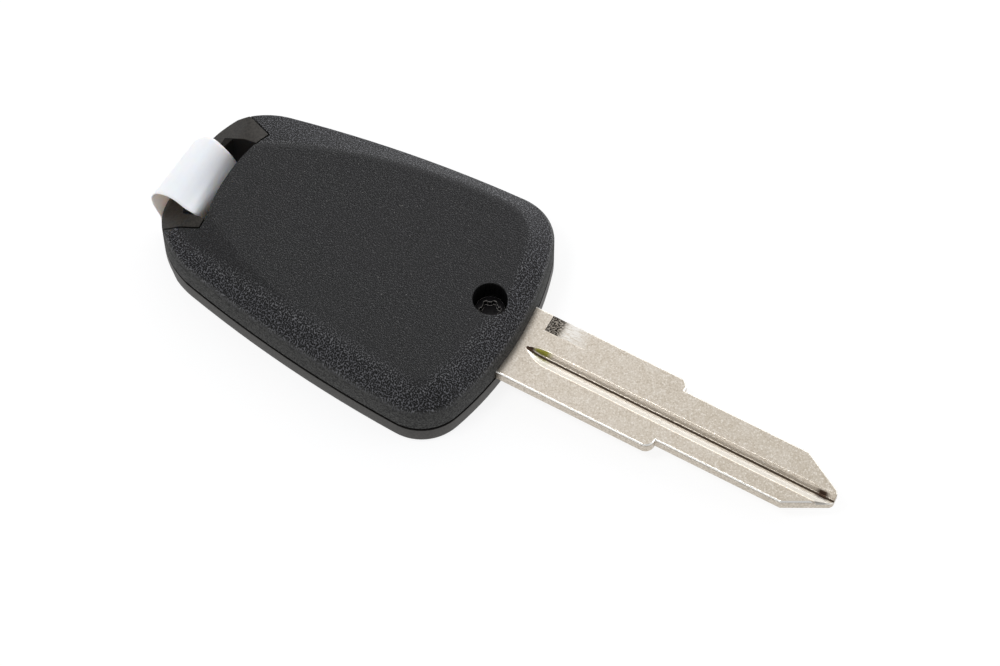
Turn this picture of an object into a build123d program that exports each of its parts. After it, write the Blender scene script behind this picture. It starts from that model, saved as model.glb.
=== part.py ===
from build123d import *
import os
from math import hypot, radians, sqrt, tan

# A fixed-blade remote car key that lies on its button face, rear cover up.
# Millimetres. +X runs along the blade to its tip, +Z up out of the rear cover.
# The origin is on the rest face, on the blade's centre line, level with the cover screw.

# Head outline: two end arcs and two side arcs, with rounded corners
head_end_x = 4.8
head_length = 50.1
end_arc_r = 42.4
end_corner_r = 6.5
far_arc_r = 28.0
far_corner_r = 11.4
side_arc_r = 178.5
half_width_blade_end = 17.36
half_width_loop_end = 10.78

# Head heights
head_thickness = 10.0
shoulder_z = 7.5
parting_z = 3.3
parting_gap = 0.26
rim_chamfer = 0.25
rest_edge_r = 0.6
shoulder_drop = 0.55
shoulder_rise = 0.36
shoulder_set = 0.41

# Rear cover plateau: set in from the head outline by the sloping band
band_end = 3.3
band_side = 3.0
plateau_slot_half = 6.0
plateau_widest_x = -4.7
plateau_corner_r = 4.5
plateau_slot_corner_r = 1.5
plateau_edge_out = 0.42
plateau_edge_drop = 0.37
plateau_edge_in = 0.56

# Key-ring loop at the far end: slot, bar, and the posts that join the rear cover's notches
loop_length = 7.0
slot_width = 4.0
slot_half_length = 6.35
slot_edge_r = 25.0
bar_inner_r = 18.0
bar_corner_r = 0.35
bar_underside_z = 1.3
far_slope_deg = 37.0
far_round_r = 4.0
underside_ramp = 1.8
underside_round_r = 0.8
cover_joint_gap = 0.2

# Posts of the loop, first the one on the +Y side: their joint lines differ a little
post_root = (0.7, 0.55)
post_tip = (1.25, 0.5)
post_width = (2.15, 1.32)
post_flare = (0.46, 0.3)

# Cover walls, their lap joint and the snap at the loop end
wall = 1.5
floor = 1.3
roof = 1.3
cavity_corner_r = 1.2
cavity_shoulder_drop = 0.5
ceiling_inset = 0.8
tongue_thickness = 0.7
tongue_height = 1.3
tongue_clearance = 0.05
tongue_end = 3.7
snap_width = 6.0
snap_thickness = 0.8
snap_clearance = 0.25
snap_low_z = 1.9
snap_barb_z = 2.6
snap_high_z = 5.5
snap_barb = 0.55

# Blade
blade_top_z = 4.9
blade_thickness = 1.9
blade_root_width = 10.74
blade_width = 7.92
blade_shoulder_x = 26.6
blade_tip_x = 50.05
tip_taper_length = 5.75
tip_flat_half = 0.8
nose_r = 0.85
shoulder_round_r = 1.25
shoulder_fill = 0.9
shoulder_chamfer = 0.8
blade_edge_chamfer = 0.16
tang_length = 13.5
tang_peg_x = -6.0
tang_peg_r = 1.2
tang_clearance = 0.12
mouth_clearance = 0.24
bed_rib_rise = 1.4
bed_rib = 0.8

# Blade groove and milled notch
groove_start_x = 6.0
groove_depth = 0.7
groove_edge_y = 0.42
groove_wall_run = 0.62
groove_floor_width = 0.25
groove_slope_width = 1.4
groove_cutter_r = 9.0
notch_x = 7.0
notch_depth = 0.3
notch_floor_length = 1.9
notch_ramp_length = 4.0
notch_width = 2.5

# Cover screw
screw_y = 1.1
screw_head_r = 2.12
screw_head_height = 1.3
screw_head_chamfer = 0.2
screw_shank_r = 1.23
screw_length = 4.7
screw_point_chamfer = 0.3
screw_hole_clearance = 0.2
screw_tip_gap = 0.2
counterbore_clearance = 0.13
boss_r = 3.7
boss_floor = 0.8
lobe_count = 6
lobe_circle_r = 1.06
lobe_r = 0.34
recess_core_r = 1.12
recess_depth = 0.9
insert_r = 1.9
insert_length = 2.2
insert_groove_depth = 0.15
insert_knurls = 8
thread_clearance = 0.02

# Buttons, three alike under the rest face
button_bridge = 1.9
button_length = 6.6
button_width = 12.0
button_corner_r = 2.6
button_recess = 0.3
button_gap = 0.15
button_flange = 0.7
button_flange_thickness = 0.6
button_flange_clearance = 0.05
button_stem_half = 1.3
button_travel = 0.3
button_dish_r = 24.0
button_dish_depth = 0.18
button_edge_chamfer = 0.25

# Circuit board on its posts
board_thickness = 0.8
board_clearance = 0.4
board_end_gap = 1.7
board_post_r = 1.3
board_post_gap = 0.5
board_post_far = 5.4
board_post_near = 2.0
board_post_side = 2.8
board_peg_r = 0.6
board_peg_clearance = 0.1
hold_down_r = 1.2

# Push switches under the board
switch_length = 4.2
switch_height = 0.8
plunger_r = 0.9
plunger_reserve = 0.15
plunger_end_gap = 0.1
plunger_gap = 0.05
plunger_clearance = 0.05

# Coin cell with its contacts
battery_r = 10.0
battery_height = 3.2
battery_rim_step = 0.5
battery_edge_chamfer = 0.3
battery_lift = 0.35
contact_thickness = 0.15
contact_width = 3.0
contact_span = 12.0
contact_crown = 5.0
clip_thickness = 0.2
clip_width = 5.0
clip_clearance = 0.2
clip_foot = 1.2
clip_ceiling_gap = 0.25

# Control chip and quartz crystal on the board's button side
chip_size = (6.4, 4.4, 0.9)
chip_y = 9.7
chip_lead_count = 7
chip_lead_pitch = 0.85
chip_lead_width = 0.35
chip_lead_length = 0.8
chip_lead_thickness = 0.2
crystal_size = (5.0, 3.2, 0.9)
crystal_y = -9.4
crystal_corner_r = 0.5
crystal_rim = 0.3
crystal_rim_thickness = 0.2

# Transponder in its pocket beside the tang
transponder_size = (10.0, 6.0, 3.0)
transponder_taper = 0.6
pocket_rib = 0.8
pocket_clearance = 0.1
pocket_height = 1.6

# Paper strip closed in a ring through the slot and round the bar
paper_thickness = 0.25
paper_width = 9.9
paper_near_y = -6.2
paper_slot_gap = 0.6
paper_side_z = 9.0
paper_crown_run = 4.0
paper_crown_z = 10.95
paper_stand_off = 0.85
paper_foot_in = 0.5
paper_shoulder_z = 9.3
paper_turn_r = 1.8
paper_crown_r = 3.0
paper_fold_r = 0.6

# Values that follow from the sizes above
far_x = head_end_x - head_length
slot_x = far_x + loop_length
bar_inner_x = slot_x - slot_width
cavity_end_x = slot_x + wall
inside_x = head_end_x - wall
plateau_half = half_width_blade_end - band_side
tang_end_x = head_end_x - tang_length
bed_end_x = tang_end_x - tang_clearance
bed_half = blade_root_width / 2 + tang_clearance
blade_bottom_z = blade_top_z - blade_thickness
front_rim_z = parting_z - parting_gap / 2
rear_rim_z = parting_z + parting_gap / 2
tongue_top_z = front_rim_z + tongue_height
snap_face_x = cavity_end_x + snap_clearance
cavity_top_z = head_thickness - roof
screw_seat_z = blade_top_z + boss_floor
screw_tip_z = screw_seat_z - screw_length
battery_x = (cavity_end_x + bed_end_x) / 2
battery_top_z = cavity_top_z - clip_ceiling_gap - clip_thickness
board_top_z = battery_top_z - battery_height - battery_lift
board_bottom_z = board_top_z - board_thickness
board_end_x = tang_end_x - board_end_gap
switch_face_z = board_bottom_z - switch_height
plunger_tip_z = switch_face_z - button_travel - plunger_reserve
button_pitch = button_length + button_bridge
flange_half_width = button_width / 2 + button_flange
button_xs = {
    "boot": battery_x - button_pitch,
    "unlock": battery_x,
    "lock": battery_x + button_pitch,
}
transponder_y = flange_half_width + board_post_gap + pocket_rib + pocket_clearance + transponder_size[1] / 2


def lens_face(end, side, far, corner_end_r, corner_far_r):
    """Plan face where four discs overlap: end, far and the two side discs, each (x, y, radius).

    The corners at the blade end and at the loop end are rounded by their own radii.
    """
    face = Pos(end[0], end[1]) * Circle(end[2])
    face &= Pos(far[0], far[1]) * Circle(far[2])
    for sign in (1, -1):
        face &= Pos(side[0], sign * side[1]) * Circle(side[2])
    face = fillet(face.vertices().sort_by(Axis.X)[-2:], corner_end_r)
    return fillet(face.vertices().sort_by(Axis.X)[:2], corner_far_r)


def side_disc():
    """Centre of the side disc whose edge passes both half widths: (x, y)."""
    run = head_length
    rise = half_width_blade_end - half_width_loop_end
    chord = sqrt(run ** 2 + rise ** 2)
    drop = sqrt(side_arc_r ** 2 - chord ** 2 / 4)
    middle_x = (head_end_x + far_x) / 2
    middle_y = (half_width_blade_end + half_width_loop_end) / 2
    return middle_x + drop * rise / chord, middle_y - drop * run / chord


def outline(inset=0.0):
    """Head outline in plan, moved inwards by inset all round."""
    side_x, side_y = side_disc()
    return lens_face(
        (head_end_x - end_arc_r, 0, end_arc_r - inset),
        (side_x, side_y, side_arc_r - inset),
        (far_x + far_arc_r, 0, far_arc_r - inset),
        end_corner_r - inset,
        far_corner_r - inset,
    )


def half_width(x):
    """Half the head's width at x, between its end corners."""
    side_x, side_y = side_disc()
    return side_y + sqrt(side_arc_r ** 2 - (x - side_x) ** 2)


def end_corner_centre():
    """Centre of the outline's rounded corner at the blade end, on the +Y side.

    It lies where the end circle and the side circle, both shrunk by the corner's radius, cross.
    """
    side_x, side_y = side_disc()
    end_x = head_end_x - end_arc_r
    end_r = end_arc_r - end_corner_r
    side_r = side_arc_r - end_corner_r
    apart = hypot(side_x - end_x, side_y)
    along = (end_r ** 2 - side_r ** 2 + apart ** 2) / (2 * apart)
    across = sqrt(end_r ** 2 - along ** 2)
    to_side = ((side_x - end_x) / apart, side_y / apart)
    return end_x + along * to_side[0] - across * to_side[1], along * to_side[1] + across * to_side[0]


def transponder_x():
    """Middle of the transponder, as far towards the blade as the hollow's rounded corner lets it."""
    corner_x, corner_y = end_corner_centre()
    reach = end_corner_r - wall - pocket_clearance
    rise = transponder_y + transponder_size[1] / 2 + pocket_clearance - corner_y
    return corner_x + sqrt(reach ** 2 - rise ** 2) - pocket_clearance - transponder_size[0] / 2


def plateau_side_disc():
    """Side disc of the plateau, from its widest place to the end of the slot: (x, y, radius)."""
    run = plateau_widest_x - slot_x
    drop = plateau_half - plateau_slot_half
    radius = (run ** 2 + drop ** 2) / (2 * drop)
    return plateau_widest_x, plateau_half - radius, radius


def plateau(inset, slot_inset):
    """Flat top of the rear cover in plan, moved inwards: it narrows to the ends of the key-ring slot."""
    x, y, radius = plateau_side_disc()
    return lens_face(
        (head_end_x - end_arc_r, 0, end_arc_r - band_end - inset),
        (x, y, radius - inset),
        (slot_x + slot_edge_r, 0, slot_edge_r - slot_inset),
        plateau_corner_r - inset,
        plateau_slot_corner_r - inset,
    )


def ceiling():
    """Ceiling of the hollow under the plateau."""
    x, y, radius = plateau_side_disc()
    return lens_face(
        (head_end_x - end_arc_r, 0, end_arc_r - band_end - ceiling_inset),
        (x, y, radius - ceiling_inset),
        (slot_x + slot_edge_r, 0, slot_edge_r - wall - ceiling_inset),
        plateau_corner_r - ceiling_inset,
        cavity_corner_r,
    )


def cavity_face(inset=0.0):
    """Plan of the hollow in the head, a wall inside the outline and the key-ring slot."""
    side_x, side_y = side_disc()
    return lens_face(
        (head_end_x - end_arc_r, 0, end_arc_r - wall - inset),
        (side_x, side_y, side_arc_r - wall - inset),
        (slot_x + slot_edge_r, 0, slot_edge_r - wall - inset),
        end_corner_r - wall - inset,
        cavity_corner_r,
    )


def side_profile():
    """Head seen from the side: level top, a slope down over the loop, and a raised bar underside."""
    drop = (slot_x - far_x) * tan(radians(far_slope_deg))
    points = [
        (head_end_x, 0),
        (slot_x, 0),
        (slot_x - underside_ramp, bar_underside_z),
        (far_x, bar_underside_z),
        (far_x, head_thickness - drop),
        (slot_x, head_thickness),
        (head_end_x, head_thickness),
    ]
    face = make_face(Polyline(*points, close=True))
    far = face.vertices().group_by(Axis.X)[0].sort_by(Axis.Y)
    face = fillet(far[-1], far_round_r)
    low = face.vertices().group_by(Axis.X)[0].sort_by(Axis.Y)[0]
    return fillet(low, underside_round_r)


def head_form():
    """Outside of the closed head before it is divided into covers.

    Straight walls join its sections, so each rounded edge is drawn as one or two flats.
    """
    rest_bend = rest_edge_r * (1 - sqrt(0.5))
    sections = [
        (0, outline(rest_edge_r)),
        (rest_bend, outline(rest_bend)),
        (rest_edge_r, outline()),
        (shoulder_z - shoulder_drop, outline()),
        (shoulder_z + shoulder_rise, outline(shoulder_set)),
        (head_thickness - plateau_edge_drop, plateau(-plateau_edge_out, -plateau_edge_out)),
        (head_thickness, plateau(plateau_edge_in, 0)),
    ]
    form = loft([Pos(0, 0, z) * face for z, face in sections], ruled=True)
    return form & extrude(Plane.XZ * side_profile(), half_width_blade_end, both=True)


def rear_rim():
    """Plan of the rear cover from its chamfered rim up."""
    chamfered = loft(
        [Pos(0, 0, rear_rim_z) * outline(rim_chamfer), Pos(0, 0, rear_rim_z + rim_chamfer) * outline()],
        ruled=True,
    )
    return chamfered + slab(rear_rim_z + rim_chamfer, 2 * head_thickness)


def slab(low, high):
    """Block wider than the head between two heights."""
    middle = (head_end_x + far_x) / 2
    return Pos(middle, 0, (low + high) / 2) * Box(2 * head_length, 4 * half_width_blade_end, high - low)


def slot_prism():
    """Key-ring slot right through the head, between the covers' arc and the bar's arc."""
    middle = (slot_x + bar_inner_x) / 2
    face = Pos(middle, 0) * Rectangle(head_length / 2, 2 * slot_half_length)
    face &= Pos(bar_inner_x + bar_inner_r, 0) * Circle(bar_inner_r)
    face -= Pos(slot_x + slot_edge_r, 0) * Circle(slot_edge_r)
    face = face.faces().sort_by(Axis.X)[0]
    face = fillet(face.vertices().sort_by(Axis.X)[:2], bar_corner_r)
    return Pos(0, 0, -head_thickness) * extrude(face, 3 * head_thickness)


def post_edge(side):
    """Joint line of one post from the slot outwards; side 0 lies at +Y, side 1 at -Y."""
    sign = (1, -1)[side]
    root_x = slot_x + post_root[side]
    corner = (slot_x + post_tip[side], slot_half_length + post_width[side])
    beyond_x = far_x - wall
    beyond_y = corner[1] + post_flare[side] * (corner[0] - beyond_x)
    void_x = (slot_x + bar_inner_x) / 2
    points = [
        (void_x, slot_half_length - cover_joint_gap),
        (root_x, slot_half_length),
        corner,
        (beyond_x, beyond_y),
    ]
    return [(x, sign * y) for x, y in points]


def loop_prism(gap=0.0):
    """Plan region of the loop and its two posts, grown by gap for the cover's notches."""
    face = make_face(Polyline(*post_edge(0), *reversed(post_edge(1)), close=True))
    if gap:
        face = offset(face, gap, kind=Kind.INTERSECTION)
    return extrude(face, 2 * head_thickness)


def tube(radius, low, high):
    """Upright cylinder between two heights."""
    return Pos(0, 0, (low + high) / 2) * Cylinder(radius, high - low)


def block(x, y, z):
    """Box from three (low, high) pairs."""
    size = [high - low for low, high in (x, y, z)]
    centre = [(low + high) / 2 for low, high in (x, y, z)]
    return Pos(*centre) * Box(*size)


def board_post_places():
    """Four places where the board stands on posts: two clear the buttons, two follow the side wall."""
    far = (slot_x + board_post_far, flange_half_width + board_post_r + board_post_gap)
    near_x = board_end_x - board_post_near
    near = (near_x, half_width(near_x) - wall - board_post_side)
    return [(x, sign * y) for x, y in (far, near) for sign in (1, -1)]


def board_peg_places():
    """Two posts across a corner of the board from each other, whose pegs place it."""
    return board_post_places()[::3]


def blade_mouth(low, high):
    """Opening for the blade's root through both covers' end walls."""
    half = blade_root_width / 2 + mouth_clearance
    return block((inside_x - wall, head_end_x + wall), (-half, half), (low, high))


def snap_tab():
    """Tab of the rear cover with a barb that catches in the front cover's end wall."""
    half = snap_width / 2
    back_x = snap_face_x + snap_thickness
    tab = block((snap_face_x, back_x), (-half, half), (snap_low_z, snap_high_z))
    tab += block((snap_face_x - wall / 2, back_x), (-half, half), (rear_rim_z, snap_high_z))
    points = [(snap_face_x, snap_low_z), (snap_face_x - snap_barb, snap_barb_z), (snap_face_x, snap_barb_z)]
    barb = make_face(Polyline(*points, close=True))
    return tab + extrude(Plane.XZ * barb, half, both=True)


def snap_catch():
    """Pocket for the barb in the front cover's end wall."""
    half = snap_width / 2 + snap_clearance
    return block(
        (snap_face_x - snap_barb - snap_clearance, snap_face_x + wall),
        (-half, half),
        (snap_low_z - snap_clearance, snap_barb_z + snap_clearance),
    )


def lap_tongue():
    """Tongue round the front cover's rim that stands into the rear cover's rebate."""
    ring = outline(wall - tongue_thickness) - outline(wall)
    tongue = Pos(0, 0, floor) * extrude(ring, tongue_top_z - floor)
    reach = (-half_width_blade_end, half_width_blade_end)
    return tongue & block((slot_x + tongue_end, head_end_x), reach, (0, head_thickness))


def lap_rebate():
    """Room for the tongue inside the rear cover's rim."""
    room = extrude(outline(wall - tongue_thickness - tongue_clearance), tongue_top_z + tongue_clearance)
    reach = (-half_width_blade_end, half_width_blade_end)
    return room & block((slot_x + tongue_end - tongue_clearance, head_end_x), reach, (0, head_thickness))


def tang_bed():
    """Bed under the tang, with a rib along each side and a peg through the tang."""
    bed = block((bed_end_x, inside_x), (-bed_half, bed_half), (floor / 2, blade_bottom_z))
    for sign in (1, -1):
        rib_y = sorted((sign * bed_half, sign * (bed_half + bed_rib)))
        bed += block((bed_end_x, inside_x), rib_y, (floor / 2, blade_bottom_z + bed_rib_rise))
    peg = tube(tang_peg_r - tang_clearance, floor, blade_top_z - tang_clearance)
    return bed + Pos(tang_peg_x, 0) * peg


def transponder_pocket():
    """Low ribs round the transponder, kept inside the cover's wall."""
    length = transponder_size[0] + 2 * pocket_clearance
    width = transponder_size[1] + 2 * pocket_clearance
    ring = Rectangle(length + 2 * pocket_rib, width + 2 * pocket_rib) - Rectangle(length, width)
    ribs = Pos(transponder_x(), transponder_y, floor / 2) * extrude(ring, pocket_height + floor / 2)
    return ribs & extrude(outline(wall / 2), head_thickness)


def make_front_cover():
    """Front cover moulded in one with the key-ring loop."""
    form = head_form()
    cover = form & slab(-head_thickness, front_rim_z)
    cover -= Pos(0, 0, floor) * extrude(cavity_face(), head_thickness)
    cover += form & loop_prism()
    cover += lap_tongue()
    cover += tang_bed()
    cover += transponder_pocket()
    for x, y in board_post_places():
        cover += Pos(x, y) * tube(board_post_r, floor / 2, board_bottom_z)
    for x, y in board_peg_places():
        cover += Pos(x, y) * tube(board_peg_r, floor / 2, board_top_z - board_peg_clearance)

    cover -= slot_prism()
    cover -= snap_catch()
    cover -= blade_mouth(blade_bottom_z, head_thickness)
    cover -= Pos(0, screw_y) * tube(insert_r, blade_bottom_z - insert_length, blade_bottom_z + floor)
    pilot_r = screw_shank_r + screw_hole_clearance
    cover -= Pos(0, screw_y) * tube(pilot_r, screw_tip_z - screw_tip_gap, blade_bottom_z)
    opening = RectangleRounded(
        button_length + 2 * button_gap, button_width + 2 * button_gap, button_corner_r + button_gap
    )
    for x in button_xs.values():
        cover -= Pos(x, 0, -floor) * extrude(opening, 3 * floor)
    return cover


def make_rear_cover():
    """Rear cover with its flat top, sloping band, notches for the loop and screw boss."""
    form = head_form()
    cover = form & rear_rim()
    cover -= loop_prism(cover_joint_gap)
    cover -= slot_prism()
    bend_z = shoulder_z - cavity_shoulder_drop
    cover -= extrude(cavity_face(), bend_z)
    cover -= extrude(ceiling(), cavity_top_z)
    cover += snap_tab()
    cover -= lap_rebate()

    posts = Pos(0, screw_y) * tube(boss_r, blade_top_z, cavity_top_z + roof / 2)
    for x, y in board_post_places():
        posts += Pos(x, y) * tube(hold_down_r, board_top_z, cavity_top_z + roof / 2)
    cover += posts & form
    cover -= Pos(0, screw_y) * tube(screw_shank_r + screw_hole_clearance, 0, screw_seat_z)
    cover -= Pos(0, screw_y) * tube(screw_head_r + counterbore_clearance, screw_seat_z, 2 * head_thickness)
    return cover - blade_mouth(0, blade_top_z + tang_clearance)


def groove_section():
    """Groove in section across the blade, depth down: steep wall, narrow floor, gentle slope."""
    wall_foot = groove_edge_y - groove_wall_run
    slope_foot = wall_foot - groove_floor_width
    slope_edge = slope_foot - groove_slope_width
    points = [
        (groove_edge_y, groove_depth),
        (groove_edge_y, 0),
        (wall_foot, -groove_depth),
        (slope_foot, -groove_depth),
        (slope_edge, 0),
        (slope_edge, groove_depth),
    ]
    return make_face(Polyline(*points, close=True))


def groove_cutter():
    """Groove to the blade's tip, with the run-out that a disc cutter leaves at the head."""
    run_out = sqrt(2 * groove_cutter_r * groove_depth - groove_depth ** 2)
    start = groove_start_x + run_out
    section = Plane(origin=(start, 0, blade_top_z), x_dir=(0, 1, 0), z_dir=(1, 0, 0)) * groove_section()
    straight = extrude(section, blade_tip_x - start + wall, dir=(1, 0, 0))
    hub = Axis((start, 0, blade_top_z - groove_depth + groove_cutter_r), (0, 1, 0))
    return straight + revolve(section, hub, revolution_arc=60)


def notch_cutter():
    """Milled notch in the blade's edge: a square end, a flat floor and a ramp out to the face."""
    end = notch_x + notch_floor_length + notch_ramp_length
    points = [
        (notch_x, blade_top_z + notch_depth),
        (notch_x, blade_top_z - notch_depth),
        (notch_x + notch_floor_length, blade_top_z - notch_depth),
        (end, blade_top_z),
        (end, blade_top_z + notch_depth),
    ]
    face = Plane.XZ * make_face(Polyline(*points, close=True))
    return Pos(0, blade_root_width / 2 + wall, 0) * extrude(face, notch_width + wall, dir=(0, -1, 0))


def make_blade():
    """Flat steel blank: tang in the head, root, narrow blade and a pointed, rounded tip."""
    root = blade_root_width / 2
    narrow = blade_width / 2
    taper_x = blade_tip_x - tip_taper_length
    points = [
        (tang_end_x, root),
        (blade_shoulder_x, root),
        (blade_shoulder_x, narrow),
        (taper_x, narrow),
        (blade_tip_x, tip_flat_half),
        (blade_tip_x, -tip_flat_half),
        (taper_x, -narrow),
        (blade_shoulder_x, -narrow),
        (blade_shoulder_x, -root),
        (tang_end_x, -root),
    ]
    face = make_face(Polyline(*points, close=True))
    face = fillet(face.vertices().group_by(Axis.X)[-1], nose_r)
    face = chamfer(face.vertices().sort_by_distance((blade_shoulder_x, root))[0], shoulder_chamfer)
    round_r = min(shoulder_round_r, shoulder_fill * (root - narrow))
    face = fillet(face.vertices().sort_by_distance((blade_shoulder_x, -root))[0], round_r)
    blade = Pos(0, 0, blade_bottom_z) * extrude(face, blade_thickness)
    levels = blade.edges().group_by(Axis.Z)
    blade = chamfer(levels[0] + levels[-1], blade_edge_chamfer)
    centre_z = (blade_top_z + blade_bottom_z) / 2
    groove = groove_cutter()
    blade -= groove + groove.rotate(Axis((0, 0, centre_z), (1, 0, 0)), 180)
    blade -= notch_cutter()
    blade -= Pos(0, screw_y) * tube(screw_shank_r + screw_hole_clearance, 0, head_thickness)
    blade -= Pos(tang_peg_x, 0) * tube(tang_peg_r, 0, head_thickness)
    return blade


def make_cover_screw():
    """Cheese-head screw with a six-lobe recess."""
    head_top_z = screw_seat_z + screw_head_height
    head = tube(screw_head_r, screw_seat_z, head_top_z)
    head = chamfer(head.edges().group_by(Axis.Z)[-1], screw_head_chamfer)
    shank = tube(screw_shank_r, screw_tip_z, screw_seat_z)
    shank = chamfer(shank.edges().group_by(Axis.Z)[0], screw_point_chamfer)
    recess = Circle(recess_core_r)
    recess += PolarLocations(lobe_circle_r, lobe_count, start_angle=90) * Circle(lobe_r)
    cut = Pos(0, 0, head_top_z - recess_depth) * extrude(recess, 2 * recess_depth)
    return Pos(0, screw_y) * (head + shank - cut)


def make_screw_insert():
    """Knurled brass insert with a waist, flush with the bed under the tang."""
    low = blade_bottom_z - insert_length
    insert = tube(insert_r, low, blade_bottom_z)
    waist = tube(2 * insert_r, blade_bottom_z - 2 * insert_length / 3, blade_bottom_z - insert_length / 3)
    insert -= waist - tube(insert_r - insert_groove_depth, 0, head_thickness)
    tooth = Rot(0, 0, 45) * Rectangle(insert_groove_depth, insert_groove_depth)
    knurl = Sketch() + PolarLocations(insert_r, insert_knurls) * tooth
    insert -= extrude(knurl, head_thickness)
    insert -= tube(screw_shank_r + thread_clearance, 0, head_thickness)
    return Pos(0, screw_y) * insert


def make_button(x):
    """Hard button cap with a finger dish, a flange behind the cover and a stem to its switch."""
    flange_low = floor + button_flange_clearance
    body = RectangleRounded(button_length, button_width, button_corner_r)
    cap = Pos(0, 0, button_recess) * extrude(body, flange_low - button_recess)
    cap = chamfer(cap.edges().group_by(Axis.Z)[0], button_edge_chamfer)
    flange = RectangleRounded(button_length + 2 * button_flange, 2 * flange_half_width, button_corner_r)
    cap += Pos(0, 0, flange_low) * extrude(flange, button_flange_thickness)
    stem = (-button_stem_half, button_stem_half)
    cap += block(stem, stem, (flange_low, plunger_tip_z - plunger_gap))
    dish_z = button_recess + button_dish_depth - button_dish_r
    cap -= Pos(0, 0, dish_z) * Rot(0, 90, 0) * Cylinder(button_dish_r, 2 * button_length)
    return Pos(x, 0) * cap


def make_board():
    """Circuit board on four posts, placed by two pegs and cut to the hollow."""
    face = cavity_face(board_clearance)
    face &= Pos(board_end_x - head_length, 0) * Rectangle(2 * head_length, 4 * half_width_blade_end)
    for x, y in board_peg_places():
        face -= Pos(x, y) * Circle(board_peg_r + board_peg_clearance)
    face -= Pos(snap_face_x, 0) * Rectangle(
        2 * (snap_thickness + board_clearance), snap_width + 2 * board_clearance
    )
    return Pos(0, 0, board_bottom_z) * extrude(face, board_thickness)


def make_switch(x):
    """Push-switch body under the board, open in the middle for its plunger."""
    body = Pos(0, 0, switch_face_z) * extrude(Rectangle(switch_length, switch_length), switch_height)
    return Pos(x, 0) * (body - tube(plunger_r + plunger_clearance, 0, head_thickness))


def make_plunger(x):
    """Plunger of a push switch, with room above it for the button's travel."""
    return Pos(x, 0) * tube(plunger_r, plunger_tip_z, board_bottom_z - button_travel - plunger_end_gap)


def make_battery():
    """Coin cell, its smaller negative lid towards the board."""
    low = board_top_z + battery_lift
    can = tube(battery_r, low + battery_rim_step, battery_top_z)
    can = chamfer(can.edges().group_by(Axis.Z)[-1], battery_edge_chamfer)
    lid = tube(battery_r - 2 * battery_rim_step, low, low + battery_rim_step)
    return Pos(battery_x, 0) * (can + lid)


def make_negative_contact():
    """Sprung strip on the board under the cell."""
    foot = board_top_z + contact_thickness / 2
    crown = board_top_z + battery_lift - contact_thickness / 2
    points = [
        (-contact_span / 2, foot),
        (-contact_crown, foot),
        (-contact_crown / 2, crown),
        (contact_crown / 2, crown),
        (contact_crown, foot),
        (contact_span / 2, foot),
    ]
    strip = trace(Polyline(*points), contact_thickness)
    return Pos(battery_x, 0) * extrude(Plane.XZ * strip, contact_width / 2, both=True)


def make_positive_clip():
    """Strap over the cell with legs down to the board."""
    leg = battery_r + clip_clearance + clip_thickness / 2
    foot = board_top_z + clip_thickness / 2
    top = battery_top_z + clip_thickness / 2
    half = [(leg, top), (leg, foot), (leg + clip_foot, foot)]
    points = [(-y, z) for y, z in reversed(half)] + half
    strip = trace(Polyline(*points), clip_thickness)
    return Pos(battery_x, 0) * extrude(Plane.YZ * strip, clip_width / 2, both=True)


def make_control_chip():
    """Chip body with two rows of bent leads."""
    length, width, height = chip_size
    body = Pos(0, 0, -height) * extrude(Rectangle(length, width), height - chip_lead_thickness)
    body = chamfer(body.edges().group_by(Axis.Z)[0], chip_lead_thickness)
    bend_y = (width + chip_lead_length) / 2
    foot_z = -chip_lead_thickness / 2
    path = [
        (width / 4, -height / 2),
        (bend_y, -height / 2),
        (bend_y, foot_z),
        (width / 2 + chip_lead_length, foot_z),
    ]
    strip = trace(Polyline(*path), chip_lead_thickness)
    lead = extrude(Plane.YZ * strip, chip_lead_width / 2, both=True)
    for place in GridLocations(chip_lead_pitch, 0, chip_lead_count, 1):
        for turn in (0, 180):
            body += place * Rot(0, 0, turn) * lead
    return Pos(battery_x, chip_y, board_bottom_z) * body


def make_quartz_crystal():
    """Metal-lidded crystal can with a base plate."""
    length, width, height = crystal_size
    lid = extrude(RectangleRounded(length, width, crystal_corner_r), height)
    plate = RectangleRounded(length + 2 * crystal_rim, width + 2 * crystal_rim, crystal_corner_r)
    can = lid + Pos(0, 0, height - crystal_rim_thickness) * extrude(plate, crystal_rim_thickness)
    return Pos(battery_x, crystal_y, board_bottom_z - height) * can


def make_transponder():
    """Moulded transponder wedge in its pocket beside the tang."""
    length, width, height = transponder_size
    chip = Pos(0, 0, height / 2) * Box(length, width, height)
    chip = chamfer(chip.edges().group_by(Axis.Z)[-1], transponder_taper)
    return Pos(transponder_x(), transponder_y, floor) * chip


def make_paper_tag():
    """Stiff paper strip closed in a ring: it stands on its fold and passes over the bar."""
    slot_side_x = slot_x - paper_slot_gap
    far_side_x = far_x - paper_stand_off
    corners = [
        (slot_side_x, 0, paper_fold_r),
        (slot_side_x, paper_side_z, paper_turn_r),
        (slot_side_x - paper_crown_run, paper_crown_z, paper_crown_r),
        (far_side_x, paper_shoulder_z, paper_turn_r),
        (far_side_x + paper_foot_in, 0, paper_fold_r),
    ]
    face = make_face(Polyline(*[(x, z) for x, z, radius in corners], close=True))
    for x, z, radius in corners:
        face = fillet(face.vertices().sort_by_distance((x, z))[0], radius)
    ring = face - offset(face, -paper_thickness)
    return Pos(0, paper_near_y, 0) * extrude(Plane.XZ * ring, paper_width, dir=(0, 1, 0))


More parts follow.
